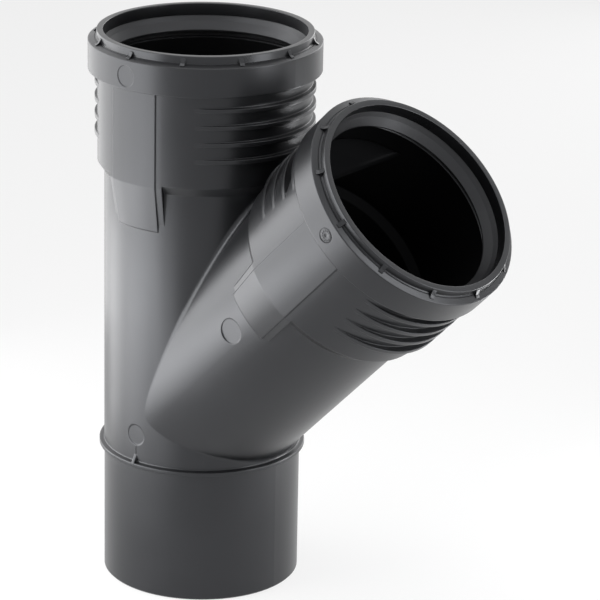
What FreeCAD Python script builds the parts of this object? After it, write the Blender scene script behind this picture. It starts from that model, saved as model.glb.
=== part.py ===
# Lateral wye fitting, DN 90 on all three ends, branch at 45 degrees.
# Frame: the origin is the centre of the spigot's end face, +Z runs up the run pipe,
# +X points to the side that the branch leans to. Millimetres.
#
# The fitting is one moulded shell. Its run pipe has a plain spigot with a stop bead at the
# bottom and a push-fit socket on top, and its branch has the same socket again, as a mirror
# image across the plane that halves the angle between the two pipes. Each socket holds a
# rubber lip seal and, above it, a retaining ring with twelve small gussets.
import FreeCAD, Part
import Sketcher
import math
import os

doc = FreeCAD.newDocument("lateral_wye_fitting")
sheet = doc.addObject("Spreadsheet::Sheet", "Sizes")
UP = FreeCAD.Vector(0, 0, 1)
EAST = FreeCAD.Vector(1, 0, 0)
STATES_THAT_FAIL = ("Invalid", "Error")

# Driving dimensions: name, number, what it is. Each is set by itself, and what follows from
# them is worked out below, from the pipe outward and from the mouth's rim inward.
DRIVING = [
    ("spigot_radius", 45.0, "outside of the spigot, DN 90"),
    ("tube_wall", 3.1, "wall of spigot, run and branch at the spigot's radius"),
    ("run_swell", 0.1, "run barrel over the spigot's radius"),
    ("branch_shrink", 0.2, "branch barrel under the spigot's radius"),
    ("branch_angle", 45, "branch to run, degrees"),
    ("heel_land", 0.408, "plain barrel between bead and junction fillet at the branch's heel"),
    ("crotch_sink", 2.865, "shoulder's top below the point where both socket walls meet"),
    ("junction_round", 2.2, "fillet where the branch leaves the run"),
    ("spigot_length", 61.1, "spigot's end to the stop bead"),
    ("spigot_lead", 0.8, "lead-in chamfer on the spigot's end"),
    ("bead_stand", 2.3, "stop bead over the spigot"),
    ("bead_thick", 2.6, "stop bead at its root, along the axis"),
    ("bead_draft", 0.5, "lean of the bead's flanks, along the axis"),
    ("pipe_play", 0.3, "guide bore round the pipe, on the radius"),
    ("socket_wall", 2.9, "socket wall round the guide bore"),
    ("seal_room", 4.0, "seal chamber round the guide bore, on the radius"),
    ("collar_wall", 3.2, "collar round the seal chamber"),
    ("chamber_floor", 15.1, "rim to the floor of the seal chamber"),
    ("floor_thick", 2.5, "chamber floor to the collar's lower edge"),
    ("ledge_inner", 3.5, "rim to the ledge at its inner edge"),
    ("ledge_fall", 1.0, "fall of the ledge to its outer edge"),
    ("bore_lead", 0.9, "lead-in chamfer where the guide bore opens in the chamber's floor"),
    ("pipe_stop", 59.5, "rim to the end of the guide bore"),
    ("stop_length", 3.2, "length of the cone down to the tube bore"),
    ("shoulder_delay", 0.5, "end of the guide bore to the top of the shoulder"),
    ("shoulder_length", 4.8, "shoulder, along the axis"),
    ("rib_gap", 6.8, "collar's lower edge to the middle of the first crescent rib"),
    ("rib_pitch", 7.75, "rib to rib"),
    ("rib_count", 4, "ribs on one side of a socket"),
    ("rib_thick", 2.0, "crescent rib, along the axis"),
    ("rib_stand", 3.05, "crescent rib over the wall, at its middle"),
    ("rib_shift", 6.65, "centre of the rib's curve from the socket's axis"),
    ("pad_angle", 37.6, "carrier pad, round the axis, degrees"),
    ("pad_delay", 1.5, "top of the shoulder to where the pad starts to run out"),
    ("pad_run", 19.5, "length over which the pad runs out on the barrel"),
    ("label_angle", 30.0, "blank label field, round the axis, degrees"),
    ("label_tail", 1.5, "lower edge of the field past the pad's"),
    ("label_rise", 0.45, "height of the field over the pad"),
    ("label_foot_rise", 0.3, "height of the field over the barrel at its lower edge"),
    ("ring_gap", 0.7, "gap between chamber wall and retaining ring"),
    ("ring_wall", 2.9, "retaining ring, thickness"),
    ("ring_low", 5.5, "rim to the ring's underside, which stands on the seal"),
    ("chamber_play", 0.05, "gap between chamber wall and seal"),
    ("gusset_top", 1.3, "rim to the top of a gusset"),
    ("gusset_back", 1.3, "collar's outside to the end of a gusset"),
    ("gusset_toe", 0.4, "height of a gusset at its outer end"),
    ("gusset_wide", 2.1, "width of a gusset"),
    ("gusset_lift", 0.05, "gap between gusset and ledge"),
    ("gusset_count", 12, "gussets round the ring"),
    ("seal_wall", 2.95, "seal at its top, thickness"),
    ("foot_wall", 2.55, "seal's foot, thickness"),
    ("bend_inset", 0.1, "lip's bend inside the pipe's outside, on the radius"),
    ("bend_drop", 2.5, "ring's underside to the lip's bend"),
    ("lip_grip", 2.7, "tip of the lip inside the pipe's outside, relaxed"),
    ("lip_drop", 6.0, "ring's underside to the upper edge of the lip's tip"),
    ("lip_land", 1.5, "length of the lip's tip"),
    ("crook_rise", 5.5, "chamber floor to the corner behind the lip"),
    ("mark_radius", 4.8, "round flats on barrel and collar"),
    ("mark_depth", 0.42, "depth of those flats at their middle"),
    ("mark_over_bead", 15.3, "stop bead's foot to the middle of the barrel's flat"),
    ("mark_in_collar", 6.0, "collar's lower edge to the middle of the collar's flat"),
    ("branch_mark_radius", 5.7, "round flat on the branch"),
    ("branch_mark_depth", 0.55, "depth of that flat at its middle"),
    ("mark_past_field", 12.0, "label field to the middle of the branch's flat"),
    ("dial_radius", 3.3, "date dial's flat on the branch's collar"),
    ("dial_depth", 0.3, "depth of that flat at its middle"),
    ("dial_in_collar", 6.4, "collar's lower edge to the middle of the dial"),
    ("seam_wide", 0.5, "parting seam between flat and bead"),
    ("seam_rise", 0.2, "parting seam over the barrel"),
    ("fin_height", 3.2, "small fin on the bead at the parting side"),
    ("fin_wide", 1.5, "width of that fin"),
    ("overrun", 2.0, "how far a hidden profile runs past the face that it joins or cuts"),
]


class Size:
    """A length that knows its number and the sheet expression that gives it."""

    def __init__(self, number, text):
        self.number = float(number)
        self.text = text

    def __add__(self, other):
        return Size(self.number + other.number, f"({self.text} + {other.text})")

    def __sub__(self, other):
        return Size(self.number - other.number, f"({self.text} - {other.text})")

    def __neg__(self):
        return Size(-self.number, f"(0 - {self.text})")

    def __mul__(self, other):
        return Size(self.number * other.number, f"({self.text} * {other.text})")

    def __truediv__(self, other):
        return Size(self.number / other.number, f"({self.text} / {other.text})")


class Sizes:
    """The sheet's rows as attributes, each a Size."""


size = Sizes()
for row, (name, number, meaning) in enumerate(DRIVING, start=1):
    sheet.set(f"A{row}", meaning)
    sheet.set(f"B{row}", str(number))
    sheet.setAlias(f"B{row}", name)
    setattr(size, name, Size(number, f"Sizes.{name}"))
doc.recompute()

ZERO = Size(0, "0")
ONE = Size(1, "1")
TWO = Size(2, "2")

# Tangent of half the angle between the pipes, which sets where equal walls of both meet
half_angle_tan = Size(
    math.tan(math.radians(size.branch_angle.number / 2)),
    "tan(Sizes.branch_angle / 2 * 1 deg)",
)

# Radii, from the pipe outward
tube_bore = size.spigot_radius - size.tube_wall
run_radius = size.spigot_radius + size.run_swell
branch_radius = size.spigot_radius - size.branch_shrink
bead_radius = size.spigot_radius + size.bead_stand
socket_bore = size.spigot_radius + size.pipe_play
wall_radius = socket_bore + size.socket_wall
chamber_radius = socket_bore + size.seal_room
collar_radius = chamber_radius + size.collar_wall
# Hidden ends of profiles lie in the middle of the pipe's wall
root = (tube_bore + branch_radius) / TWO

# Depths under a mouth's rim, along its axis
collar_low = size.chamber_floor + size.floor_thick
ledge_outer = size.ledge_inner + size.ledge_fall
shoulder_high = size.pipe_stop + size.shoulder_delay
shoulder_low = shoulder_high + size.shoulder_length
pad_flat = shoulder_high + size.pad_delay
pad_end = pad_flat + size.pad_run
label_end = pad_end + size.label_tail
rib_first = collar_low + size.rib_gap

# Stop bead, then the junction just above it: the branch's fillet clears the bead at its heel
bead_high = size.spigot_length + size.bead_thick
bead_middle = size.spigot_length + size.bead_thick / TWO
heel = (run_radius + size.junction_round) * half_angle_tan
junction_height = bead_high + size.heel_land + heel

# Both sockets start just below the point where their walls would meet
mouth_reach = wall_radius / half_angle_tan - size.crotch_sink + shoulder_high
mouth = junction_height + mouth_reach


def below_rim(depth):
    """Height over the spigot's end of a point this far below the run's rim."""
    return mouth - depth


def bind(thing, path, value):
    thing.setExpression(path, value.text)


def origin_plane(body, role):
    for feature in body.Origin.OriginFeatures:
        if feature.Role == role:
            return feature
    raise LookupError(role)


def new_sketch(body, name, role):
    sketch = body.newObject("Sketcher::SketchObject", name)
    sketch.AttachmentSupport = [(origin_plane(body, role), "")]
    sketch.MapMode = "FlatFace"
    return sketch


def pin_corner(sketch, geometry, point, x, y):
    """Holds one sketch point at the sheet's coordinates, measured from the sketch's origin."""
    for kind, value, axis in (("DistanceX", x, -2), ("DistanceY", y, -1)):
        if value is ZERO:
            held = Sketcher.Constraint("PointOnObject", geometry, point, axis)
            sketch.addConstraint(held)
            continue
        if value.number > 0:
            ends = (-1, 1, geometry, point)
            shown = value
        else:
            ends = (geometry, point, -1, 1)
            shown = -value
        held = Sketcher.Constraint(kind, *ends, shown.number)
        index = sketch.addConstraint(held)
        bind(sketch, f"Constraints[{index}]", shown)


def add_outline(sketch, corners):
    """One closed polygon whose corners are all held at sheet coordinates."""
    first = sketch.GeometryCount
    points = [FreeCAD.Vector(x.number, y.number, 0) for x, y in corners]
    count = len(points)
    for i in range(count):
        line = Part.LineSegment(points[i], points[(i + 1) % count])
        sketch.addGeometry(line, False)
    for i in range(count):
        after = first + (i + 1) % count
        joined = Sketcher.Constraint("Coincident", first + i, 2, after, 1)
        sketch.addConstraint(joined)
    for i, (x, y) in enumerate(corners):
        pin_corner(sketch, first + i, 1, x, y)


def add_disc(sketch, x, y, radius):
    """One circle, its centre and its radius held at sheet values."""
    middle = FreeCAD.Vector(x.number, y.number, 0)
    circle = sketch.addGeometry(Part.Circle(middle, UP, radius.number), False)
    pin_corner(sketch, circle, 3, x, y)
    index = sketch.addConstraint(Sketcher.Constraint("Radius", circle, radius.number))
    bind(sketch, f"Constraints[{index}]", radius)


def lean_with_branch(thing):
    """Moves a sketch on the upright plane so that its own Y axis is the branch's axis."""
    turn = FreeCAD.Rotation(FreeCAD.Vector(0, 0, -1), size.branch_angle.number)
    at = FreeCAD.Vector(0, junction_height.number, 0)
    thing.AttachmentOffset = FreeCAD.Placement(at, turn)
    bind(thing, "AttachmentOffset.Base.y", junction_height)
    bind(thing, "AttachmentOffset.Rotation.Angle", size.branch_angle)


def revolve(body, kind, name, sketch, angle=None):
    """A full turn about the sketch's own upright axis, or a part turn to both sides of it."""
    feature = body.newObject(f"PartDesign::{kind}", name)
    feature.Profile = sketch
    feature.ReferenceAxis = (sketch, ["V_Axis"])
    feature.Angle = 360
    if angle is not None:
        feature.Midplane = True
        bind(feature, "Angle", angle)
    doc.recompute()
    return feature


def volume_of(body):
    return body.Tip.Shape.Volume


def must_change(before, what, sign):
    """A feature that points the wrong way changes nothing and shows no error, so it is measured."""
    after = volume_of(shell)
    if (after - before) * sign <= 0:
        raise RuntimeError(f"{what} changed the volume from {before:.3f} to {after:.3f}")


def round_edges(body, name, edges, radius):
    if not edges:
        raise LookupError(f"no edges for {name}")
    base = body.Tip
    feature = body.newObject("PartDesign::Fillet", name)
    feature.Base = (base, edges)
    bind(feature, "Radius", radius)
    doc.recompute()
    if feature.Shape.isNull() or not feature.Shape.isValid():
        raise RuntimeError(f"{name} has no valid shape")
    return feature


# The moulded shell
shell = doc.addObject("PartDesign::Body", "fitting_body")
shell.Label = "fitting_body"

# The plane that halves the angle between run and branch; each socket is the other's image in it
halving = shell.newObject("PartDesign::Plane", "halving_plane")
halving.AttachmentSupport = [(origin_plane(shell, "YZ_Plane"), "")]
halving.MapMode = "FlatFace"
halving.AttachmentOffset = FreeCAD.Placement(
    FreeCAD.Vector(0, junction_height.number, 0),
    FreeCAD.Rotation(EAST, size.branch_angle.number / 2),
)
bind(halving, "AttachmentOffset.Base.y", junction_height)
bind(halving, "AttachmentOffset.Rotation.Angle", size.branch_angle / TWO)

# Run pipe as a solid: spigot, stop bead and barrel in one profile
run_profile = new_sketch(shell, "run_profile", "XZ_Plane")
add_outline(
    run_profile,
    [
        (ZERO, ZERO),
        (size.spigot_radius - size.spigot_lead, ZERO),
        (size.spigot_radius, size.spigot_lead),
        (size.spigot_radius, size.spigot_length),
        (bead_radius, size.spigot_length + size.bead_draft),
        (bead_radius, bead_high - size.bead_draft),
        (run_radius, bead_high),
        (run_radius, below_rim(shoulder_high)),
        (ZERO, below_rim(shoulder_high)),
    ],
)
revolve(shell, "Revolution", "run_pipe", run_profile)

# Branch pipe as a solid, drawn along its own axis from the junction centre
branch_profile = new_sketch(shell, "branch_profile", "XZ_Plane")
lean_with_branch(branch_profile)
add_outline(
    branch_profile,
    [
        (ZERO, ZERO),
        (branch_radius, ZERO),
        (branch_radius, mouth_reach - shoulder_high),
        (ZERO, mouth_reach - shoulder_high),
    ],
)
revolve(shell, "Revolution", "branch_pipe", branch_profile)


def junction_edges(shape):
    """The curve where the two pipes cross: it is neither straight nor round."""
    names = []
    for i, edge in enumerate(shape.Edges, start=1):
        if not isinstance(edge.Curve, (Part.Circle, Part.Line)):
            names.append(f"Edge{i}")
    return names


round_edges(shell, "junction_fillet", junction_edges(shell.Tip.Shape), size.junction_round)

# Socket as a solid: shoulder, wall, collar and the sloping ledge inside its top edge
socket_profile = new_sketch(shell, "socket_profile", "XZ_Plane")
add_outline(
    socket_profile,
    [
        (ZERO, below_rim(shoulder_low)),
        (branch_radius, below_rim(shoulder_low)),
        (wall_radius, below_rim(shoulder_high)),
        (wall_radius, below_rim(collar_low)),
        (collar_radius, below_rim(collar_low)),
        (collar_radius, below_rim(ledge_outer)),
        (chamber_radius, below_rim(size.ledge_inner)),
        (ZERO, below_rim(size.ledge_inner)),
    ],
)
socket = revolve(shell, "Revolution", "socket", socket_profile)

# Carrier pad: the socket's wall carried on past the shoulder, running out on the barrel
pad_profile = new_sketch(shell, "pad_profile", "YZ_Plane")
add_outline(
    pad_profile,
    [
        (-root, below_rim(collar_low) + size.overrun),
        (-wall_radius, below_rim(collar_low) + size.overrun),
        (-wall_radius, below_rim(pad_flat)),
        (-branch_radius, below_rim(pad_end)),
        (-root, below_rim(pad_end)),
    ],
)
pad = revolve(shell, "Revolution", "carrier_pad", pad_profile, size.pad_angle)

# Label field, left blank: a thin raised panel that follows the pad
field_profile = new_sketch(shell, "field_profile", "YZ_Plane")
field_radius = wall_radius + size.label_rise
add_outline(
    field_profile,
    [
        (-root, below_rim(collar_low) + size.overrun),
        (-field_radius, below_rim(collar_low) + size.overrun),
        (-field_radius, below_rim(pad_flat)),
        (-(run_radius + size.label_foot_rise), below_rim(label_end)),
        (-root, below_rim(label_end)),
    ],
)
field = revolve(shell, "Revolution", "label_field", field_profile, size.label_angle)

# The branch's socket, pad and field
branch_socket = shell.newObject("PartDesign::Mirrored", "branch_socket")
branch_socket.Originals = [socket, pad, field]
branch_socket.MirrorPlane = (halving, [""])
shell.Tip = branch_socket
doc.recompute()

# Crescent rib: a disc off the socket's axis, of which only a crescent stands out of the wall
rib_profile = new_sketch(shell, "rib_profile", "XZ_Plane")
rib_profile.AttachmentOffset = FreeCAD.Placement(
    FreeCAD.Vector(size.rib_shift.number, 0, 0), FreeCAD.Rotation()
)
bind(rib_profile, "AttachmentOffset.Base.x", size.rib_shift)
rib_foot = below_rim(rib_first) - size.rib_thick / TWO
rib_top = rib_foot + size.rib_thick
rib_radius = wall_radius + size.rib_stand - size.rib_shift
add_outline(
    rib_profile,
    [
        (ZERO, rib_foot),
        (rib_radius, rib_foot),
        (rib_radius, rib_top),
        (ZERO, rib_top),
    ],
)
rib = revolve(shell, "Revolution", "crescent_rib", rib_profile)

# Four ribs down the wall, again on the far side, and all of them again on the branch
rib_row = shell.newObject("PartDesign::LinearPattern", "rib_row")
rib_row.Direction = (rib_profile, ["V_Axis"])
rib_row.Reversed = True
bind(rib_row, "Occurrences", size.rib_count)
bind(rib_row, "Length", size.rib_pitch * (size.rib_count - ONE))
rib_far_side = shell.newObject("PartDesign::Mirrored", "rib_far_side")
rib_far_side.MirrorPlane = (origin_plane(shell, "YZ_Plane"), [""])
rib_on_branch = shell.newObject("PartDesign::Mirrored", "rib_on_branch")
rib_on_branch.MirrorPlane = (halving, [""])
all_ribs = shell.newObject("PartDesign::MultiTransform", "all_ribs")
all_ribs.Originals = [rib]
all_ribs.Transformations = [rib_row, rib_far_side, rib_on_branch]
shell.Tip = all_ribs
doc.recompute()

# Inside of a socket, from the junction centre outward
core_profile = new_sketch(shell, "core_profile", "XZ_Plane")
add_outline(
    core_profile,
    [
        (ZERO, junction_height),
        (tube_bore, junction_height),
        (tube_bore, below_rim(size.pipe_stop + size.stop_length)),
        (socket_bore, below_rim(size.pipe_stop)),
        (socket_bore, below_rim(size.chamber_floor + size.bore_lead)),
        (socket_bore + size.bore_lead, below_rim(size.chamber_floor)),
        (chamber_radius, below_rim(size.chamber_floor)),
        (chamber_radius, mouth),
        (ZERO, mouth),
    ],
)
before = volume_of(shell)
socket_core = revolve(shell, "Groove", "socket_core", core_profile)
must_change(before, "socket_core", -1)

before = volume_of(shell)
branch_core = shell.newObject("PartDesign::Mirrored", "branch_core")
branch_core.Originals = [socket_core]
branch_core.MirrorPlane = (halving, [""])
shell.Tip = branch_core
doc.recompute()
must_change(before, "branch_core", -1)

spigot_core_profile = new_sketch(shell, "spigot_core_profile", "XZ_Plane")
add_outline(
    spigot_core_profile,
    [
        (ZERO, -size.overrun),
        (tube_bore, -size.overrun),
        (tube_bore, junction_height),
        (ZERO, junction_height),
    ],
)
before = volume_of(shell)
revolve(shell, "Groove", "spigot_core", spigot_core_profile)
must_change(before, "spigot_core", -1)


def flat_cut(name, wall, along, on_branch, radius, depth):
    """Cuts a shallow round flat into the side that faces -Y, at this height or reach."""
    sketch = new_sketch(shell, f"{name}_outline", "XZ_Plane")
    if on_branch:
        lean_with_branch(sketch)
    floor = wall - depth
    offset = sketch.AttachmentOffset
    offset.Base.z = floor.number
    sketch.AttachmentOffset = offset
    bind(sketch, "AttachmentOffset.Base.z", floor)
    add_disc(sketch, ZERO, along, radius)
    start = volume_of(shell)
    pocket = shell.newObject("PartDesign::Pocket", name)
    pocket.Profile = sketch
    pocket.Reversed = True
    bind(pocket, "Length", size.overrun)
    doc.recompute()
    must_change(start, name, -1)


# Round flats on the parting side: on the run barrel, the branch and the run collar
barrel_mark = size.spigot_length + size.mark_over_bead
branch_mark = mouth_reach - label_end - size.mark_past_field
collar_mark = below_rim(collar_low) + size.mark_in_collar
mark = (size.mark_radius, size.mark_depth)
wide_mark = (size.branch_mark_radius, size.branch_mark_depth)
flat_cut("barrel_flat", run_radius, barrel_mark, False, *mark)
flat_cut("branch_flat", branch_radius, branch_mark, True, *wide_mark)
flat_cut("collar_flat", collar_radius, collar_mark, False, *mark)

# The date dial's own flat, on the branch's collar
dial_mark = mouth_reach - collar_low + size.dial_in_collar
flat_cut("dial_flat", collar_radius, dial_mark, True, size.dial_radius, size.dial_depth)

# Parting seam from the barrel's flat down to the bead, and the small fin on the bead
seam_outline = new_sketch(shell, "seam_outline", "XZ_Plane")
seam_outline.AttachmentOffset = FreeCAD.Placement(
    FreeCAD.Vector(0, 0, root.number), FreeCAD.Rotation()
)
bind(seam_outline, "AttachmentOffset.Base.z", root)
seam_half = size.seam_wide / TWO
seam_top = barrel_mark - size.mark_radius - size.seam_wide
add_outline(
    seam_outline,
    [
        (-seam_half, bead_middle),
        (seam_half, bead_middle),
        (seam_half, seam_top),
        (-seam_half, seam_top),
    ],
)
faces_before = len(shell.Tip.Shape.Faces)
seam = shell.newObject("PartDesign::Pad", "parting_seam")
seam.Profile = seam_outline
bind(seam, "Length", run_radius + size.seam_rise - root)
doc.recompute()
if len(shell.Tip.Shape.Faces) <= faces_before:
    raise RuntimeError("parting_seam left no face of its own")

fin_outline = new_sketch(shell, "fin_outline", "YZ_Plane")
add_outline(
    fin_outline,
    [
        (-root, bead_middle),
        (-bead_radius, bead_middle),
        (-bead_radius, bead_high - size.bead_draft),
        (-run_radius, bead_high + size.fin_height),
        (-root, bead_high + size.fin_height),
    ],
)
before = volume_of(shell)
fin = shell.newObject("PartDesign::Pad", "bead_fin")
fin.Profile = fin_outline
fin.Midplane = True
bind(fin, "Length", size.fin_wide)
doc.recompute()
must_change(before, "bead_fin", 1)

# Lip seal of the run's socket: a foot on the chamber's floor and a lip that leans down and in
run_seal = doc.addObject("PartDesign::Body", "run_seal")
run_seal.Label = "run_seal"
seal_outer = chamber_radius - size.chamber_play
seal_throat = seal_outer - size.seal_wall
seal_foot = seal_outer - size.foot_wall
lip_bend_radius = size.spigot_radius - size.bend_inset
lip_radius = size.spigot_radius - size.lip_grip
lip_bend = size.ring_low + size.bend_drop
lip_top = size.ring_low + size.lip_drop
lip_foot = lip_top + size.lip_land
seal_crook = size.chamber_floor - size.crook_rise
seal_profile = new_sketch(run_seal, "seal_profile", "XZ_Plane")
add_outline(
    seal_profile,
    [
        (seal_throat, below_rim(size.ring_low)),
        (seal_outer, below_rim(size.ring_low)),
        (seal_outer, below_rim(size.chamber_floor)),
        (seal_foot, below_rim(size.chamber_floor)),
        (seal_foot, below_rim(seal_crook)),
        (lip_radius, below_rim(lip_foot)),
        (lip_radius, below_rim(lip_top)),
        (lip_bend_radius, below_rim(lip_bend)),
    ],
)
revolve(run_seal, "Revolution", "seal_ring", seal_profile)

# Retaining ring of the run's socket: it stands on the seal
run_ring = doc.addObject("PartDesign::Body", "run_retaining_ring")
run_ring.Label = "run_retaining_ring"
ring_outer = chamber_radius - size.ring_gap
ring_inner = ring_outer - size.ring_wall
ring_profile = new_sketch(run_ring, "ring_profile", "XZ_Plane")
add_outline(
    ring_profile,
    [
        (ring_inner, mouth),
        (ring_outer, mouth),
        (ring_outer, below_rim(size.ring_low)),
        (ring_inner, below_rim(size.ring_low)),
    ],
)
revolve(run_ring, "Revolution", "ring", ring_profile)

# Gusset: a small triangle from the ring's outside to the ledge, which it clears by a hair
def over_ledge(radius):
    """Height just over the ledge at this radius, as a sheet expression."""
    out = radius - chamber_radius
    drop = out * size.ledge_fall / size.collar_wall
    return below_rim(size.ledge_inner + drop) + size.gusset_lift


gusset_outline = new_sketch(run_ring, "gusset_outline", "XZ_Plane")
gusset_root = (ring_inner + ring_outer) / TWO
gusset_reach = collar_radius - size.gusset_back
add_outline(
    gusset_outline,
    [
        (gusset_root, below_rim(size.gusset_top)),
        (ring_outer, below_rim(size.gusset_top)),
        (gusset_reach, over_ledge(gusset_reach) + size.gusset_toe),
        (gusset_reach, over_ledge(gusset_reach)),
        (chamber_radius, over_ledge(chamber_radius)),
        (gusset_root, over_ledge(chamber_radius)),
    ],
)
gusset = run_ring.newObject("PartDesign::Pad", "gusset")
gusset.Profile = gusset_outline
gusset.Midplane = True
bind(gusset, "Length", size.gusset_wide)
doc.recompute()
gussets = run_ring.newObject("PartDesign::PolarPattern", "gussets")
gussets.Originals = [gusset]
gussets.Axis = (ring_profile, ["V_Axis"])
gussets.Angle = 360
bind(gussets, "Occurrences", size.gusset_count)
run_ring.Tip = gussets
doc.recompute()


def image_on_branch(source, name):
    """The same piece in the branch's socket: its mirror image in the halving plane."""
    image = doc.addObject("Part::Mirroring", name)
    image.Label = name
    image.Source = source
    half = math.radians(size.branch_angle.number / 2)
    image.Normal = FreeCAD.Vector(-math.cos(half), 0, math.sin(half))
    image.Base = UP * junction_height.number
    image.setExpression("Normal.x", "-cos(Sizes.branch_angle / 2 * 1 deg)")
    image.setExpression("Normal.z", "sin(Sizes.branch_angle / 2 * 1 deg)")
    bind(image, "Base.z", junction_height)
    return image


branch_seal = image_on_branch(run_seal, "branch_seal")
branch_ring = image_on_branch(run_ring, "branch_retaining_ring")
doc.recompute()

# Checks, then one file for each piece
for thing in doc.Objects:
    if any(state in thing.State for state in STATES_THAT_FAIL):
        raise RuntimeError(f"{thing.Name}: {thing.State}")

PIECES = [shell, run_seal, branch_seal, run_ring, branch_ring]
for piece in PIECES:
    shape = piece.Shape
    if shape.isNull() or not shape.isValid():
        raise RuntimeError(f"{piece.Label} has no valid shape")
    if len(shape.Solids) != 1:
        raise RuntimeError(f"{piece.Label} has {len(shape.Solids)} solids")

os.makedirs("parts", exist_ok=True)
for piece in PIECES:
    shape = piece.Shape
    shape.exportStep(f"parts/{piece.Label}.step")
    box = shape.BoundBox
    extent = (box.XMin, box.XMax, box.YMin, box.YMax, box.ZMin, box.ZMax)
    shown = ", ".join(f"{value:.2f}" for value in extent)
    print(f"{piece.Label}: {shape.Volume / 1000:.2f} cm3, box {shown}")
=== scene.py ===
"""Looks of the lateral wye fitting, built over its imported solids.

The moulded shell keeps its solid and gets a procedural finish. The two retaining rings and the
two lip seals are turned again as finer meshes with rounded rims, in the places that their solids
hold, and the mould's small dial is added on the branch's collar. Soft lamps on both sides, above
and behind light the fitting, and none stands in front of it.
"""

import logging
import math
from dataclasses import dataclass
from enum import Enum
from typing import Dict, List, Mapping, Optional, Sequence, Tuple, Union

import bmesh
import bpy
from mathutils import Matrix, Vector


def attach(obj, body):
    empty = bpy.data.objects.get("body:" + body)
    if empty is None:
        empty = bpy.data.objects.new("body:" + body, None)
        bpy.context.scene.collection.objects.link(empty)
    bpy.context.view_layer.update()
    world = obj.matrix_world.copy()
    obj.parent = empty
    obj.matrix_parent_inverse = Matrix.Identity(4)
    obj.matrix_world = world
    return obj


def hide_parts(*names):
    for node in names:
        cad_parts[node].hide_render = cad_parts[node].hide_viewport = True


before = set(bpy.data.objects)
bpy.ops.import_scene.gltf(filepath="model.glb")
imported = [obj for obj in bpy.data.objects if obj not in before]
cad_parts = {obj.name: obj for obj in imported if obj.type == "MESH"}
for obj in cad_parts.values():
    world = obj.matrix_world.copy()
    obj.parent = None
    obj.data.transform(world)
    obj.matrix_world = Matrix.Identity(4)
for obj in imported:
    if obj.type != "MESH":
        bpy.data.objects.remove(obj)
LOG = logging.getLogger("lateral_wye_fitting")
MM = 0.001
SHARP_ANGLE = math.radians(34)

Colour = Tuple[float, float, float]
Point = Tuple[float, float]
Triple = Tuple[float, float, float]

PLASTIC_DEEP: Colour = (0.0080, 0.0082, 0.0089)
PLASTIC_PALE: Colour = (0.0112, 0.0114, 0.0125)
RUBBER_DEEP: Colour = (0.0080, 0.0080, 0.0085)
RUBBER_PALE: Colour = (0.0120, 0.0120, 0.0127)
WHITE: Colour = (1.0, 1.0, 1.0)


class Mouth(Enum):
    """The fitting's two push-fit mouths."""

    RUN = "run"
    BRANCH = "branch"


class LampSide(Enum):
    """Where a soft lamp stands, seen from the camera."""

    LEFT = "left"
    RIGHT = "right"
    ABOVE = "above"
    BEHIND = "behind"


@dataclass(frozen=True)
class FittingSizes:
    """Sizes that several pieces share, in millimetres.

    A depth is measured from a mouth's rim along its axis, towards the junction.
    """

    junction_height: float = 83.7
    mouth_reach: float = 173.5
    branch_angle: float = 45.0
    collar_radius: float = 52.5
    ledge_outer: float = 4.5
    ledge_inner: float = 3.5
    chamber_radius: float = 49.3
    chamber_play: float = 0.05
    chamber_floor: float = 15.1
    ring_low: float = 5.5

    def placement(self, mouth: Mouth) -> Matrix:
        """Gives the matrix from a mouth's own frame to the fitting's.

        Args:
            mouth: the mouth whose frame is wanted. Its origin is the centre of the rim, and its
                Z axis points out of the mouth.

        Returns:
            A matrix in metres.
        """
        lean = math.radians(self.branch_angle if mouth is Mouth.BRANCH else 0.0)
        turn = Matrix.Rotation(lean, 4, "Y")
        to_junction = Matrix.Translation((0, 0, self.junction_height * MM))
        out = Matrix.Translation((0, 0, self.mouth_reach * MM))
        return to_junction @ turn @ out

    def ledge_depth(self, radius: float) -> float:
        """Gives the depth of the collar's sloping ledge at a radius.

        Args:
            radius: distance from the mouth's axis.

        Returns:
            The depth under the rim.
        """
        share = (radius - self.chamber_radius) / (self.collar_radius - self.chamber_radius)
        return self.ledge_inner + share * (self.ledge_outer - self.ledge_inner)


def opaque(colour: Colour) -> Tuple[float, float, float, float]:
    """Adds full alpha to a colour."""
    return (*colour, 1.0)


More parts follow.
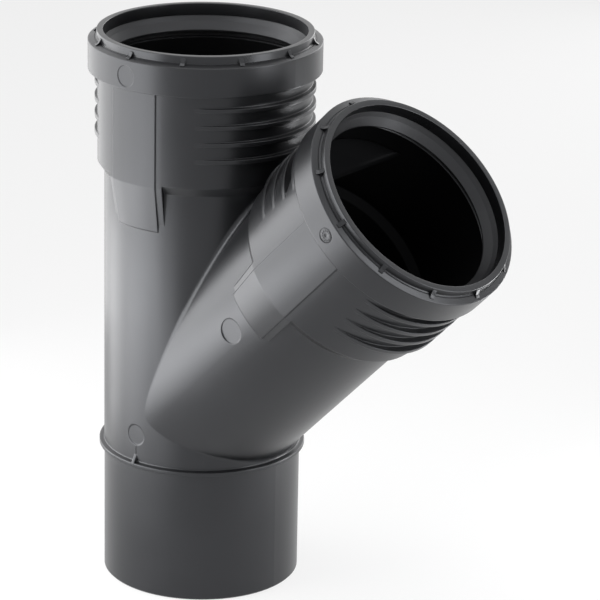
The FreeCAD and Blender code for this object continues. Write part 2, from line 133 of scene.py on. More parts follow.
class NodeBoard:
    """A short way to place and wire nodes in a material or a group.

    The Mix node has a set of like-named sockets for each kind of data, so the ones for colours
    are known by their numbers.
    """

    COLUMN_WIDTH = 190
    MIX_SHARE = 0
    MIX_LOW = 6
    MIX_HIGH = 7
    MIX_RESULT = 2

    def __init__(self, tree: bpy.types.NodeTree) -> None:
        """Keeps the tree that nodes are placed in."""
        self.tree = tree
        self.column = 0

    def place(
        self,
        kind: str,
        inputs: Optional[Mapping[Union[str, int], object]] = None,
        **settings: object,
    ) -> bpy.types.Node:
        """Adds a node.

        Args:
            kind: the node's type name.
            inputs: what goes into its inputs, by name or number. Each is a plain value or the
                output of a node that stands already.
            settings: properties of the node.

        Returns:
            The new node.
        """
        node = self.tree.nodes.new(kind)
        node.location = (self.column * self.COLUMN_WIDTH, 0)
        self.column += 1
        for key, value in settings.items():
            setattr(node, key, value)
        for key, value in (inputs or {}).items():
            if isinstance(value, bpy.types.NodeSocket):
                self.wire(value, node.inputs[key])
            else:
                node.inputs[key].default_value = value
        return node

    def wire(self, start: bpy.types.NodeSocket, end: bpy.types.NodeSocket) -> None:
        """Links an output to an input."""
        self.tree.links.new(start, end)

    def compute(
        self, operation: str, *terms: Union[float, bpy.types.NodeSocket]
    ) -> bpy.types.NodeSocket:
        """Adds a Math node.

        Args:
            operation: what it does with its terms.
            terms: values or outputs of other nodes, in order.

        Returns:
            The result's socket.
        """
        node = self.place("ShaderNodeMath", dict(enumerate(terms)), operation=operation)
        return node.outputs[0]

    def blend_colours(
        self,
        share: bpy.types.NodeSocket,
        low: Union[Colour, bpy.types.NodeSocket],
        high: Colour,
    ) -> bpy.types.NodeSocket:
        """Mixes two colours by a mask.

        Args:
            share: mask, 0 for the low colour and 1 for the high one.
            low: colour where the mask is 0, or the socket that gives it.
            high: colour where the mask is 1.

        Returns:
            The mixed colour's socket.
        """
        start = low if isinstance(low, bpy.types.NodeSocket) else opaque(low)
        mix = self.place(
            "ShaderNodeMix",
            {self.MIX_SHARE: share, self.MIX_LOW: start, self.MIX_HIGH: opaque(high)},
            data_type="RGBA",
        )
        return mix.outputs[self.MIX_RESULT]

    def blend_values(
        self, share: bpy.types.NodeSocket, low: float, high: float
    ) -> bpy.types.NodeSocket:
        """Maps a mask from 0..1 to a range.

        Args:
            share: the mask.
            low: value where the mask is 0.
            high: value where the mask is 1.

        Returns:
            The mapped value's socket.
        """
        span = self.place("ShaderNodeMapRange", {"Value": share, "To Min": low, "To Max": high})
        return span.outputs["Result"]

    def spread(
        self, value: bpy.types.NodeSocket, low: float, high: float
    ) -> bpy.types.NodeSocket:
        """Stretches a part of a value's range to a whole mask.

        Args:
            value: the value.
            low: where the mask is 0; it stays 0 below.
            high: where the mask is 1; it stays 1 above.

        Returns:
            The mask's socket.
        """
        span = self.place("ShaderNodeMapRange", {"Value": value, "From Min": low, "From Max": high})
        return span.outputs["Result"]


def blank_board(owner: Union[bpy.types.Material, bpy.types.World]) -> NodeBoard:
    """Empties the node tree of a material or of the world.

    Args:
        owner: the material or the world.

    Returns:
        A board on the empty tree.
    """
    owner.use_nodes = True
    owner.node_tree.nodes.clear()
    return NodeBoard(owner.node_tree)


def new_group(
    name: str, inputs: Dict[str, float], outputs: Sequence[str]
) -> Tuple[NodeBoard, bpy.types.Node, bpy.types.Node]:
    """Starts a shader node group whose sockets are all numbers.

    Args:
        name: the group's name.
        inputs: input names and their default values.
        outputs: output names.

    Returns:
        The group's board, its input node and its output node.
    """
    group = bpy.data.node_groups.new(name, "ShaderNodeTree")
    for label, value in inputs.items():
        socket = group.interface.new_socket(
            name=label, in_out="INPUT", socket_type="NodeSocketFloat"
        )
        socket.default_value = value
    for label in outputs:
        group.interface.new_socket(name=label, in_out="OUTPUT", socket_type="NodeSocketFloat")
    board = NodeBoard(group)
    return board, board.place("NodeGroupInput"), board.place("NodeGroupOutput")


@dataclass
class SurfaceEffects:
    """Effects that more than one finish uses, each a node group built once.

    A count per metre says how fine a pattern is, along each axis where it has three. A span is
    the part of a noise's range that becomes a whole mask. The rub marks' lean is in radians.
    """

    swells_per_metre: float = 38.0
    patch_span: Tuple[float, float] = (0.3, 0.7)
    rubs_per_metre: Triple = (900.0, 900.0, 60.0)
    rub_lean: Triple = (0.4, 0.9, 0.3)
    rub_span: Tuple[float, float] = (0.66, 0.78)

    def __post_init__(self) -> None:
        """Builds every group."""
        self.mould_skin = self._build_mould_skin()
        self.handling = self._build_handling()

    def _build_mould_skin(self) -> bpy.types.NodeTree:
        """Builds the skin of a moulded face: fine spark grain over a slow swell.

        Returns:
            A group that takes the grain's size and both heights, and gives the skin's height,
            all in metres.
        """
        board, source, sink = new_group(
            "mould_skin",
            {"Grain Size": 0.0006, "Grain Height": 0.000006, "Swell Height": 0.00004},
            ("Height",),
        )
        place = board.place("ShaderNodeTexCoord").outputs["Object"]
        pitch = board.compute("DIVIDE", 1.0, source.outputs["Grain Size"])
        grain = board.place(
            "ShaderNodeTexNoise", {"Vector": place, "Scale": pitch, "Detail": 3.0, "Roughness": 0.6}
        )
        swell = board.place(
            "ShaderNodeTexNoise", {"Vector": place, "Scale": self.swells_per_metre, "Detail": 1.0}
        )
        fine = board.compute("MULTIPLY", grain.outputs["Fac"], source.outputs["Grain Height"])
        height = board.compute(
            "MULTIPLY_ADD", swell.outputs["Fac"], source.outputs["Swell Height"], fine
        )
        board.wire(height, sink.inputs["Height"])
        return board.tree

    def _build_handling(self) -> bpy.types.NodeTree:
        """Builds the traces of handling: broad matt patches and a few fine rub marks.

        Returns:
            A group that gives a patch mask and a rub mask.
        """
        board, source, sink = new_group(
            "handling", {"Patch Size": 0.05, "Rub Amount": 0.5}, ("Patches", "Rubs")
        )
        place = board.place("ShaderNodeTexCoord").outputs["Object"]
        pitch = board.compute("DIVIDE", 1.0, source.outputs["Patch Size"])
        patches = board.place(
            "ShaderNodeTexNoise",
            {"Vector": place, "Scale": pitch, "Detail": 4.0, "Roughness": 0.55},
        )
        even = board.spread(patches.outputs["Fac"], *self.patch_span)
        stretch = board.place(
            "ShaderNodeMapping",
            {"Vector": place, "Rotation": self.rub_lean, "Scale": self.rubs_per_metre},
        )
        rubs = board.place(
            "ShaderNodeTexNoise", {"Vector": stretch.outputs["Vector"], "Scale": 1.0, "Detail": 2.0}
        )
        sparse = board.spread(rubs.outputs["Fac"], *self.rub_span)
        amount = board.compute("MULTIPLY", sparse, source.outputs["Rub Amount"])
        board.wire(even, sink.inputs["Patches"])
        board.wire(amount, sink.inputs["Rubs"])
        return board.tree


@dataclass(frozen=True)
class MouldedFinish:
    """A moulded black finish: its colours, roughness and skin.

    Grain, swell and patches are sized in metres, and the round that catches the light on edges in
    millimetres. A rub mark is as bright as the pale colour times its lift.
    """

    name: str
    deep: Colour
    pale: Colour
    rough_low: float
    rough_high: float
    grain_size: float
    grain_height: float
    swell_height: float
    patch_size: float
    rub_amount: float
    edge_round: float
    edge_samples: int = 8
    rub_lift: float = 2.2
    index: float = 1.5
    specular: float = 0.5
    sheen_tint: Colour = (0.93, 0.95, 1.0)

    def build(self, effects: SurfaceEffects) -> bpy.types.Material:
        """Makes the material.

        Args:
            effects: the shared node groups.

        Returns:
            The finished material.
        """
        material = bpy.data.materials.new(self.name)
        board = blank_board(material)
        skin = board.place(
            "ShaderNodeGroup",
            {
                "Grain Size": self.grain_size,
                "Grain Height": self.grain_height,
                "Swell Height": self.swell_height,
            },
            node_tree=effects.mould_skin,
        )
        traces = board.place(
            "ShaderNodeGroup",
            {"Patch Size": self.patch_size, "Rub Amount": self.rub_amount},
            node_tree=effects.handling,
        )
        clean = board.blend_colours(traces.outputs["Patches"], self.deep, self.pale)
        rubbed = tuple(channel * self.rub_lift for channel in self.pale)
        rounded = board.place(
            "ShaderNodeBevel", {"Radius": self.edge_round * MM}, samples=self.edge_samples
        )
        bump = board.place(
            "ShaderNodeBump",
            {
                "Strength": 1.0,
                "Distance": 1.0,
                "Height": skin.outputs["Height"],
                "Normal": rounded.outputs["Normal"],
            },
        )
        surface = {
            "Base Color": board.blend_colours(traces.outputs["Rubs"], clean, rubbed),
            "Roughness": board.blend_values(
                traces.outputs["Patches"], self.rough_low, self.rough_high
            ),
            "IOR": self.index,
            "Specular IOR Level": self.specular,
            "Specular Tint": opaque(self.sheen_tint),
            "Normal": bump.outputs["Normal"],
        }
        self._shade_and_dull_bores(board, surface)
        shader = board.place("ShaderNodeBsdfPrincipled", surface)
        board.place("ShaderNodeOutputMaterial", {"Surface": shader.outputs["BSDF"]})
        return material

    def _shade_and_dull_bores(self, board: NodeBoard, surface: Dict[str, object]) -> None:
        """Changes the finish inside the bores, painted shade included; a piece with none has
        nothing to change.
        """


@dataclass(frozen=True)
class ShellFinish(MouldedFinish):
    """The shell's finish: satin outside, and matt inside the bores, as the core leaves it.
    Shade is painted into the bores: their colour is darker and their reflection weaker.

    What is nearer to a pipe's axis than its reach is inside. Reaches are in millimetres, and so
    are starts, which are measured along the axis from the junction.
    """

    sizes: FittingSizes = FittingSizes()
    tube_reach: float = 43.2
    socket_reach: float = 45.4
    socket_start: float = 110.6
    branch_start: float = 0.0
    run_start: float = -90.0
    # Painted shade inside the bores: their specular level and the share of their colour that is
    # kept.
    bore_specular: float = 0.06
    bore_painted_shade: float = 0.35
    bore_rough: float = 0.55

    def _inside(
        self, board: NodeBoard, place: bpy.types.NodeSocket, mouth: Mouth
    ) -> bpy.types.NodeSocket:
        """Finds the points inside one pipe's bore.

        Args:
            board: the material's board.
            place: the point, in the fitting's frame.
            mouth: the mouth at the pipe's end.

        Returns:
            A mask, 1 inside the bore.
        """
        axis = (self.sizes.placement(mouth).to_3x3() @ Vector((0, 0, 1)))[:]
        junction = (0.0, 0.0, self.sizes.junction_height * MM)
        kind = "ShaderNodeVectorMath"
        local = board.place(kind, {0: place, 1: junction}, operation="SUBTRACT").outputs["Vector"]
        along = board.place(kind, {0: local, 1: axis}, operation="DOT_PRODUCT").outputs["Value"]
        foot = board.place(kind, {0: axis, "Scale": along}, operation="SCALE").outputs["Vector"]
        radius = board.place(kind, {0: local, 1: foot}, operation="DISTANCE").outputs["Value"]
        in_socket = board.compute("GREATER_THAN", along, self.socket_start * MM)
        reach = board.blend_values(in_socket, self.tube_reach * MM, self.socket_reach * MM)
        start = self.run_start if mouth is Mouth.RUN else self.branch_start
        near = board.compute("LESS_THAN", radius, reach)
        past = board.compute("GREATER_THAN", along, start * MM)
        return board.compute("MULTIPLY", near, past)

    def _shade_and_dull_bores(self, board: NodeBoard, surface: Dict[str, object]) -> None:
        """Paints shade into the bores and makes them duller than the outside.

        Args:
            board: the material's board.
            surface: the shader's inputs; colour, roughness and specular level are replaced.
        """
        place = board.place("ShaderNodeTexCoord").outputs["Object"]
        bore = board.compute("MAXIMUM", *(self._inside(board, place, mouth) for mouth in Mouth))
        # Painted shade: the bores' colour is darkened to this share, and below their specular level
        # is lowered.
        shade = board.blend_values(bore, 1.0, self.bore_painted_shade)
        painted_shade_colour = board.place(
            "ShaderNodeVectorMath", {0: surface["Base Color"], "Scale": shade}, operation="SCALE"
        )
        duller = board.place(
            "ShaderNodeMix",
            {"Factor": bore, "A": surface["Roughness"], "B": self.bore_rough},
            data_type="FLOAT",
        )
        surface["Base Color"] = painted_shade_colour.outputs["Vector"]
        surface["Roughness"] = duller.outputs["Result"]
        surface["Specular IOR Level"] = board.blend_values(bore, self.specular, self.bore_specular)


def shell_finish(sizes: FittingSizes) -> ShellFinish:
    """Gives the satin black of the moulded shell.

    Args:
        sizes: the fitting's sizes, which say where its bores are.

    Returns:
        The finish.
    """
    return ShellFinish(
        name="satin_polypropylene",
        deep=PLASTIC_DEEP,
        pale=PLASTIC_PALE,
        rough_low=0.29,
        rough_high=0.36,
        grain_size=0.0007,
        grain_height=0.000003,
        swell_height=0.00002,
        patch_size=0.05,
        rub_amount=0.25,
        edge_round=0.75,
        sizes=sizes,
    )


def ring_finish() -> MouldedFinish:
    """Gives the glossier black of the retaining rings.

    Returns:
        The finish.
    """
    return MouldedFinish(
        name="ring_plastic",
        deep=PLASTIC_DEEP,
        pale=PLASTIC_PALE,
        rough_low=0.26,
        rough_high=0.33,
        grain_size=0.0005,
        grain_height=0.000002,
        swell_height=0.00001,
        patch_size=0.03,
        rub_amount=0.2,
        edge_round=0.15,
    )


def rubber_finish() -> MouldedFinish:
    """Gives the dull black of the lip seals.

    Returns:
        The finish.
    """
    return MouldedFinish(
        name="lip_rubber",
        deep=RUBBER_DEEP,
        pale=RUBBER_PALE,
        rough_low=0.42,
        rough_high=0.55,
        grain_size=0.0004,
        grain_height=0.000004,
        swell_height=0.00001,
        patch_size=0.02,
        rub_amount=0.1,
        edge_round=0.15,
    )


def rounded_outline(corners: Sequence[Triple], steps: int = 6) -> List[Point]:
    """Rounds the corners of a closed outline.

    Args:
        corners: corner points with the radius of each corner's round, in order.
        steps: segments in each round.

    Returns:
        The outline's points.
    """
    points: List[Point] = []
    count = len(corners)
    for i, (x, y, radius) in enumerate(corners):
        if radius <= 0:
            points.append((x, y))
            continue
        here = Vector((x, y))
        before = Vector(corners[i - 1][:2]) - here
        after = Vector(corners[(i + 1) % count][:2]) - here
        half = before.angle(after) / 2
        reach = radius / math.tan(half)
        bisector = (before.normalized() + after.normalized()).normalized()
        centre = here + bisector * (radius / math.sin(half))
        start = here + before.normalized() * reach - centre
        end = here + after.normalized() * reach - centre
        turn = start.angle_signed(end)
        for step in range(steps + 1):
            spoke = start.copy()
            spoke.rotate(Matrix.Rotation(-turn * step / steps, 2))
            points.append(tuple(centre + spoke))
    return points


def spin_outline(work: bmesh.types.BMesh, outline: Sequence[Point], segments: int) -> None:
    """Turns a closed outline of radius and height about the Z axis into a closed ring.

    Args:
        work: the mesh that the ring goes into.
        outline: points of radius and height, in millimetres.
        segments: steps round the axis.
    """
    rings = []
    for i in range(segments):
        angle = 2 * math.pi * i / segments
        cos, sin = math.cos(angle) * MM, math.sin(angle) * MM
        rings.append([work.verts.new((r * cos, r * sin, z * MM)) for r, z in outline])
    count = len(outline)
    for i in range(segments):
        here, there = rings[i], rings[(i + 1) % segments]
        for j in range(count):
            k = (j + 1) % count
            work.faces.new((here[j], there[j], there[k], here[k]))


def add_soft_prism(
    work: bmesh.types.BMesh, first: Sequence[Vector], last: Sequence[Vector], radius: float
) -> None:
    """Adds a small prism between two like ends and rounds all its edges.

    Args:
        work: the mesh that it goes into.
        first: corners of one end in order, in millimetres.
        last: corners of the other end, each opposite its fellow.
        radius: the edges' round, in millimetres.
    """
    here = [work.verts.new(corner * MM) for corner in first]
    there = [work.verts.new(corner * MM) for corner in last]
    faces = [work.faces.new(here), work.faces.new(there[::-1])]
    for j in range(len(here)):
        k = (j + 1) % len(here)
        faces.append(work.faces.new((here[j], there[j], there[k], here[k])))
    bmesh.ops.bevel(
        work,
        geom=list(dict.fromkeys(edge for face in faces for edge in face.edges)),
        offset=radius * MM,
        segments=2,
        profile=0.5,
        affect="EDGES",
        clamp_overlap=True,
    )


def add_to_scene(name: str, data: bpy.types.ID) -> bpy.types.Object:
    """Puts a mesh, a light or a camera in the scene.

    Args:
        name: the new object's name.
        data: what it shows.

    Returns:
        The object.
    """
    thing = bpy.data.objects.new(name, data)
    bpy.context.scene.collection.objects.link(thing)
    return thing


def add_mesh(name: str, work: bmesh.types.BMesh) -> bpy.types.Object:
    """Turns a finished mesh into an object in the scene, smooth up to its sharp edges.

    Args:
        name: the object's name.
        work: its mesh, which is freed.

    Returns:
        The object.
    """
    mesh = bpy.data.meshes.new(name)
    work.to_mesh(mesh)
    work.free()
    for polygon in mesh.polygons:
        polygon.use_smooth = True
    mesh.set_sharp_from_angle(angle=SHARP_ANGLE)
    return add_to_scene(name, mesh)


@dataclass
class TurnedPiece:
    """A ring turned from a closed outline about a mouth's axis.

    Its radii are measured from that axis and its depths from the mouth's rim, in millimetres.
    """

    mouth: Mouth
    sizes: FittingSizes
    segments: int = 256

    def outline(self) -> List[Point]:
        """Gives the closed outline as points of radius and depth."""
        raise NotImplementedError

    def turn(self, name: str) -> bpy.types.Object:
        """Turns the outline into a mesh in the mouth's place.

        Args:
            name: the new object's name.

        Returns:
            The object, with its mesh in the fitting's frame.
        """
        work = bmesh.new()
        spin_outline(work, [(r, -depth) for r, depth in self.outline()], self.segments)
        self.add_details(work)
        bmesh.ops.recalc_face_normals(work, faces=work.faces)
        work.transform(self.sizes.placement(self.mouth))
        return add_mesh(name, work)

    def add_details(self, work: bmesh.types.BMesh) -> None:
        """Adds what isn't turned; a plain ring adds nothing."""

    def dress(self, piece: bpy.types.Object, material: bpy.types.Material, node: str) -> None:
        """Gives the piece its finish and puts it in its solid's place.

        Args:
            piece: the turned object.
            material: its finish.
            node: name of the solid that it stands for, which is hidden.
        """
        piece.data.materials.append(material)
        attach(piece, "root")
        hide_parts(node)
        LOG.info("%s: %d faces", piece.name, len(piece.data.polygons))


@dataclass
class RetainingRing(TurnedPiece):
    """The ring that holds a seal in its socket, with small gussets over the collar's ledge.

    A gusset starts at its root inside the ring, drops from its crest past its waist to its toe,
    and floats a little over the ledge. Crest and waist are measured outward from the ring.
    """

    inner: float = 45.7
    outer: float = 48.6
    rim_round: float = 0.35
    foot_round: float = 0.3
    flange_play: float = 0.05
    flange_high: float = 0.8
    flange_round: float = 0.1
    flange_fillet: float = 0.2
    gussets: int = 12
    gusset_top: float = 1.0
    gusset_root: float = 0.3
    gusset_crest: float = 0.25
    gusset_waist: float = 1.3
    gusset_waist_high: float = 0.77
    gusset_reach: float = 51.15
    gusset_toe: float = 0.35
    gusset_wide: float = 2.1
    gusset_lift: float = 0.06
    gusset_round: float = 0.16

    def outline(self) -> List[Point]:
        """Gives the ring's section: a flat rim and a low flange that carries the ledge on.

        Returns:
            Points of radius and depth.
        """
        low = self.sizes.ring_low
        edge = self.sizes.chamber_radius - self.flange_play
        brim = self.sizes.ledge_depth(edge)
        return rounded_outline(
            [
                (self.inner, 0.0, self.rim_round),
                (self.outer, 0.0, self.rim_round),
                (self.outer, self.sizes.ledge_depth(self.outer), self.flange_fillet),
                (edge, brim, self.flange_round),
                (edge, brim + self.flange_high, self.flange_round),
                (self.outer, brim + self.flange_high, self.flange_round),
                (self.outer, low, 0.0),
                (self.inner, low, self.foot_round),
            ]
        )

    def gusset_section(self) -> List[Point]:
        """Gives a gusset's section.

        Returns:
            Points of radius and depth.
        """
        root = self.outer - self.gusset_root
        waist = self.outer + self.gusset_waist
        heel = self.sizes.ledge_depth(self.outer) - self.gusset_lift
        foot = self.sizes.ledge_depth(self.gusset_reach) - self.gusset_lift
        return [
            (root, self.gusset_top),
            (self.outer + self.gusset_crest, self.gusset_top),
            (waist, self.sizes.ledge_depth(waist) - self.gusset_waist_high),
            (self.gusset_reach, foot - self.gusset_toe),
            (self.gusset_reach, foot),
            (root, heel),
        ]

    def add_details(self, work: bmesh.types.BMesh) -> None:
        """Adds the gussets, evenly spaced round the ring.

        Args:
            work: the ring's mesh.
        """
        section = self.gusset_section()
        down = Vector((0, 0, -1))
        for i in range(self.gussets):
            angle = 2 * math.pi * i / self.gussets
            out = Vector((math.cos(angle), math.sin(angle), 0))
            side = Vector((-math.sin(angle), math.cos(angle), 0)) * (self.gusset_wide / 2)
            middle = [out * r + down * depth for r, depth in section]
            first = [point - side for point in middle]
            last = [point + side for point in middle]
            add_soft_prism(work, first, last, self.gusset_round)


@dataclass
class LipSeal(TurnedPiece):
    """The rubber ring of a socket: a foot on the chamber's floor and a lip that leans in."""

    throat: float = 46.3
    bend_radius: float = 44.9
    bend: float = 8.0
    bend_round: float = 3.0
    lip_radius: float = 42.3
    lip_top: float = 11.5
    lip_land: float = 1.5
    lip_round: float = 0.55
    foot_radius: float = 46.7
    crook: float = 9.6
    crook_round: float = 0.5

    def outline(self) -> List[Point]:
        """Gives the seal's section, with a rounded lip.

        Returns:
            Points of radius and depth.
        """
        sizes = self.sizes
        outer = sizes.chamber_radius - sizes.chamber_play
        return rounded_outline(
            [
                (self.throat, sizes.ring_low, 0.0),
                (outer, sizes.ring_low, 0.0),
                (outer, sizes.chamber_floor, 0.0),
                (self.foot_radius, sizes.chamber_floor, 0.0),
                (self.foot_radius, self.crook, self.crook_round),
                (self.lip_radius, self.lip_top + self.lip_land, self.lip_round),
                (self.lip_radius, self.lip_top, self.lip_round),
                (self.bend_radius, self.bend, self.bend_round),
            ],
            steps=5,
        )


@dataclass
class DateDial:
    """The mould's small dial on the branch's collar: a low plate with ticks and a hole, no figures.

    Its own frame starts at the middle of the collar's flat, with Z out of the flat and Y along
    the branch. Its sizes are in millimetres, and its bed is how far it sinks into the flat.
    """

    sizes: FittingSizes
    under_rim: float = 11.2
    flat_radius: float = 52.2
    bed: float = 0.05
    plate_radius: float = 3.3
    plate_high: float = 0.19
    plate_round: float = 0.05
    plate_segments: int = 72
    hole_radius: float = 0.5
    hole_round: float = 0.08
    ticks: int = 12
    tick_radius: float = 2.1
    tick_long: float = 0.7
    tick_wide: float = 0.34
    tick_high: float = 0.1
    tick_round: float = 0.06

    def _add_plate(self, work: bmesh.types.BMesh) -> None:
        """Adds the plate that fills the flat, with the hole in its middle.

        Args:
            work: the mesh that it goes into.
        """
        section = [
            (self.hole_radius, -self.bed, 0.0),
            (self.hole_radius, self.plate_high, self.hole_round),
            (self.plate_radius, self.plate_high, self.plate_round),
            (self.plate_radius, -self.bed, 0.0),
        ]
        spin_outline(work, rounded_outline(section, steps=3), self.plate_segments)

    def _add_tick(self, work: bmesh.types.BMesh, turn: float) -> None:
        """Adds one tick, a low bar that points to the middle.

        Args:
            work: the mesh that it goes into.
            turn: its bearing round the dial, in radians.
        """
        spin = Matrix.Rotation(turn, 3, "Z")
        half_long, half_wide = self.tick_long / 2, self.tick_wide / 2
        corners = [(-half_long, -half_wide), (half_long, -half_wide)]
        corners += [(half_long, half_wide), (-half_long, half_wide)]
        top, low = (
            [spin @ Vector((self.tick_radius + x, y, height)) for x, y in corners]
            for height in (self.plate_high + self.tick_high, self.plate_high - self.bed)
        )
        add_soft_prism(work, top, low, self.tick_round)

    def build(self, name: str) -> bpy.types.Object:
        """Builds the dial in its place.

        Args:
            name: the new object's name.

        Returns:
            The dial's object.
        """
        work = bmesh.new()
        self._add_plate(work)
        for i in range(self.ticks):
            self._add_tick(work, 2 * math.pi * i / self.ticks)
        bmesh.ops.recalc_face_normals(work, faces=work.faces)
        axes = Matrix(((1, 0, 0), (0, 0, -1), (0, 1, 0))).to_4x4()
        place = Matrix.Translation((0, -self.flat_radius * MM, -self.under_rim * MM))
        work.transform(self.sizes.placement(Mouth.BRANCH) @ place @ axes)
        return add_mesh(name, work)

    def dress(self, dial: bpy.types.Object, material: bpy.types.Material) -> None:
        """Gives the dial the shell's finish and fixes it to the shell.

        Args:
            dial: the dial's object.
            material: the shell's finish.
        """
        dial.data.materials.append(material)
        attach(dial, "root")
        LOG.info("%s: %d faces", dial.name, len(dial.data.polygons))


@dataclass
class MouldedShell:
    """The one-piece body with spigot, barrel, branch and both sockets."""

    node: str = "fitting_body"

    def dress(self, material: bpy.types.Material) -> None:
        """Gives the shell's solid its finish.

        Args:
            material: the shell's material.
        """
        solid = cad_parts[self.node]
        for slot in solid.material_slots:
            slot.material = material
        LOG.info("%s: %d faces", self.node, len(solid.data.polygons))


@dataclass(frozen=True)
class LampForm:
    """A rectangular lamp's size, its distance from the fitting and its height, in metres."""

    distance: float
    height: float
    width: float
    tall: float


@dataclass(frozen=True)
class SoftLamp:
    """A rectangular lamp that stands round the fitting; the camera doesn't see it.

    The bearing is measured from the camera's side, positive to the right, in degrees. A level
    lamp faces the fitting's axis, and another its middle.
    """

    name: str
    side: LampSide
    form: LampForm
    bearing: float
    watts: float
    level: bool = True

    def build(self, camera_bearing: float, middle: Vector) -> bpy.types.Object:
        """Adds the lamp.

        Args:
            camera_bearing: the camera's bearing round the fitting, in degrees.
            middle: the point that the lamps stand round.

        Returns:
            The lamp's object.
        """
        turn = math.radians(camera_bearing + self.bearing)
        place = Vector((middle.x, middle.y, self.form.height))
        place += Vector((math.sin(turn), -math.cos(turn), 0)) * self.form.distance
        target = Vector((middle.x, middle.y, self.form.height if self.level else middle.z))
        light = bpy.data.lights.new(self.name, "AREA")
        light.shape = "RECTANGLE"
        light.size = self.form.width
        light.size_y = self.form.tall
        light.energy = self.watts
        lamp = add_to_scene(self.name, light)
        lamp.location = place
        lamp.rotation_euler = (place - target).to_track_quat("Z", "Y").to_euler()
        lamp.visible_camera = False
        return lamp


def lamp_row(
    name: str, side: LampSide, form: LampForm, powers: Mapping[float, float]
) -> List[SoftLamp]:
    """Sets like lamps in a row round the fitting.

    Args:
        name: the row's name, to which each lamp adds its number.
        side: where the row stands.
        form: what its lamps have in common.
        powers: each lamp's watts by its bearing.

    Returns:
        The row's lamps.
    """
    return [
        SoftLamp(f"{name}_{i}", side, form, bearing, watts)
        for i, (bearing, watts) in enumerate(powers.items(), start=1)
    ]


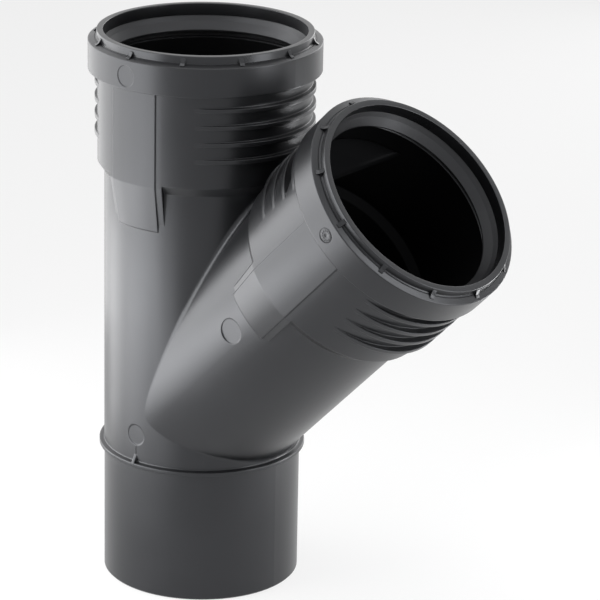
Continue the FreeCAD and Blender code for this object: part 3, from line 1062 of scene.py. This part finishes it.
@dataclass
class Studio:
    """Floor, world, lamps and camera.

    The camera's bearing, rise and roll are in degrees, its lens and sensor in millimetres, and
    everything else in metres. The slides move the camera across its view.
    """

    camera_bearing: float = 39.872
    camera_rise: float = 19.063
    camera_roll: float = 1.097
    camera_distance: float = 1.59927
    camera_lens: float = 210.2748
    camera_sensor: float = 36.0
    nearest_seen: float = 0.05
    farthest_seen: float = 30.0
    slide_right: float = -0.044152
    slide_up: float = 0.000494
    aim: Triple = (0.0, 0.0, 0.130)
    floor_half: float = 6.0
    floor_drop: float = 0.0002
    floor_colour: Colour = (0.82, 0.82, 0.82)
    floor_lift: float = 0.8
    ambient: Colour = (1.0, 1.0, 1.02)
    ambient_strength: float = 0.2
    lamps_round: Triple = (0.03, 0.0, 0.14)
    strip: LampForm = LampForm(distance=0.36, height=0.285, width=0.13, tall=0.55)
    foot: LampForm = LampForm(distance=0.24, height=0.06, width=0.12, tall=0.11)
    broad_foot: LampForm = LampForm(distance=0.3, height=0.06, width=0.15, tall=0.11)
    box: LampForm = LampForm(distance=1.1, height=0.6, width=0.52, tall=1.15)
    top: LampForm = LampForm(distance=0.02, height=1.4, width=0.7, tall=0.7)

    def lamps(self) -> List[SoftLamp]:
        """Lists the lamps: tall strips and foot lamps close by, boxes farther out, one above.

        Returns:
            The lamps, in the order in which they are built.
        """
        left, right = LampSide.LEFT, LampSide.RIGHT
        strip_powers = {-60: 0.94, -80: 0.8, -100: 0.56, -120: 0.42, -140: 0.34}
        foot_powers = {-50: 0.1, -80: 0.15, -110: 0.11}
        return [
            *lamp_row("strip_left", left, self.strip, strip_powers),
            SoftLamp("strip_right", right, self.strip, bearing=60, watts=0.92),
            *lamp_row("foot_left", left, self.foot, foot_powers),
            SoftLamp("foot_right", right, self.broad_foot, bearing=100, watts=0.62),
            SoftLamp("box_left", left, self.box, bearing=-110, watts=3.2),
            SoftLamp("box_right", right, self.box, bearing=75, watts=0.6),
            SoftLamp("box_behind", LampSide.BEHIND, self.box, bearing=150, watts=4.6),
            SoftLamp("above", LampSide.ABOVE, self.top, bearing=0, watts=3.0, level=False),
        ]

    def build_camera(self) -> bpy.types.Object:
        """Stands the camera at the photograph's viewing angle.

        Returns:
            The camera's object.
        """
        turn = math.radians(self.camera_bearing)
        rise = math.radians(self.camera_rise)
        back = Vector(
            (math.sin(turn) * math.cos(rise), -math.cos(turn) * math.cos(rise), math.sin(rise))
        )
        right = (-back).cross(Vector((0, 0, 1))).normalized()
        up = right.cross(-back)
        roll = math.radians(self.camera_roll)
        rolled_right = right * math.cos(roll) + up * math.sin(roll)
        rolled_up = up * math.cos(roll) - right * math.sin(roll)
        place = Vector(self.aim) + back * self.camera_distance
        place -= rolled_right * self.slide_right + rolled_up * self.slide_up
        lens = bpy.data.cameras.new("camera")
        lens.sensor_width = self.camera_sensor
        lens.lens = self.camera_lens
        lens.clip_start = self.nearest_seen
        lens.clip_end = self.farthest_seen
        camera = add_to_scene("camera", lens)
        axes = Matrix((rolled_right, rolled_up, back)).transposed()
        camera.matrix_world = Matrix.Translation(place) @ axes.to_4x4()
        bpy.context.scene.camera = camera
        LOG.info("camera at %s", tuple(round(c, 4) for c in place))
        return camera

    @staticmethod
    def _sees_background(board: NodeBoard) -> bpy.types.NodeSocket:
        """Finds the rays that see the white background: the camera's, and mirrored or bent ones.

        Args:
            board: the floor's or the world's board.

        Returns:
            A mask, 1 for those rays.
        """
        path = board.place("ShaderNodeLightPath")
        seen = path.outputs["Is Camera Ray"]
        for kind in ("Is Glossy Ray", "Is Transmission Ray"):
            seen = board.compute("MAXIMUM", seen, path.outputs[kind])
        return seen

    def build_floor(self) -> bpy.types.Object:
        """Lays the pale floor, which keeps a soft shadow.

        Returns:
            The floor's object.
        """
        work = bmesh.new()
        bmesh.ops.create_grid(work, x_segments=1, y_segments=1, size=self.floor_half)
        floor = add_mesh("floor", work)
        floor.location.z = -self.floor_drop
        material = bpy.data.materials.new("pale_floor")
        board = blank_board(material)
        matt = board.place("ShaderNodeBsdfDiffuse", {"Color": opaque(self.floor_colour)})
        glow = board.place("ShaderNodeEmission", {"Color": opaque(WHITE), "Strength": 1.0})
        share = board.compute("MULTIPLY", self._sees_background(board), self.floor_lift)
        mix = board.place(
            "ShaderNodeMixShader",
            {"Fac": share, 1: matt.outputs["BSDF"], 2: glow.outputs["Emission"]},
        )
        board.place("ShaderNodeOutputMaterial", {"Surface": mix.outputs["Shader"]})
        floor.data.materials.append(material)
        return floor

    def build_world(self) -> None:
        """Sets a soft even surround, white to the camera."""
        world = bpy.data.worlds.new("studio")
        board = blank_board(world)
        soft = board.place(
            "ShaderNodeBackground",
            {"Color": opaque(self.ambient), "Strength": self.ambient_strength},
            label="ambient",
        )
        white = board.place("ShaderNodeBackground", {"Color": opaque(WHITE)})
        mix = board.place(
            "ShaderNodeMixShader",
            {
                "Fac": self._sees_background(board),
                1: soft.outputs["Background"],
                2: white.outputs["Background"],
            },
        )
        board.place("ShaderNodeOutputWorld", {"Surface": mix.outputs["Shader"]})
        bpy.context.scene.world = world

    def build(self) -> None:
        """Builds the whole studio."""
        self.build_camera()
        self.build_floor()
        self.build_world()
        middle = Vector(self.lamps_round)
        for lamp in self.lamps():
            lamp.build(self.camera_bearing, middle)
            LOG.info("%s on the %s", lamp.name, lamp.side.value)
        bpy.context.scene.view_settings.view_transform = "Standard"


def main() -> None:
    """Builds the studio and every piece."""
    logging.basicConfig(level=logging.INFO, format="%(message)s")
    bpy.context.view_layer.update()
    sizes = FittingSizes()
    effects = SurfaceEffects()
    Studio().build()
    shell_material = shell_finish(sizes).build(effects)
    MouldedShell().dress(shell_material)
    dial = DateDial(sizes)
    dial.dress(dial.build("date_dial"), shell_material)
    ring_material = ring_finish().build(effects)
    rubber_material = rubber_finish().build(effects)
    for mouth in Mouth:
        ring = RetainingRing(mouth, sizes)
        node = f"{mouth.value}_retaining_ring"
        ring.dress(ring.turn(f"{node}_turned"), ring_material, node)
        seal = LipSeal(mouth, sizes)
        node = f"{mouth.value}_seal"
        seal.dress(seal.turn(f"{node}_turned"), rubber_material, node)


if __name__ == "__main__":
    main()
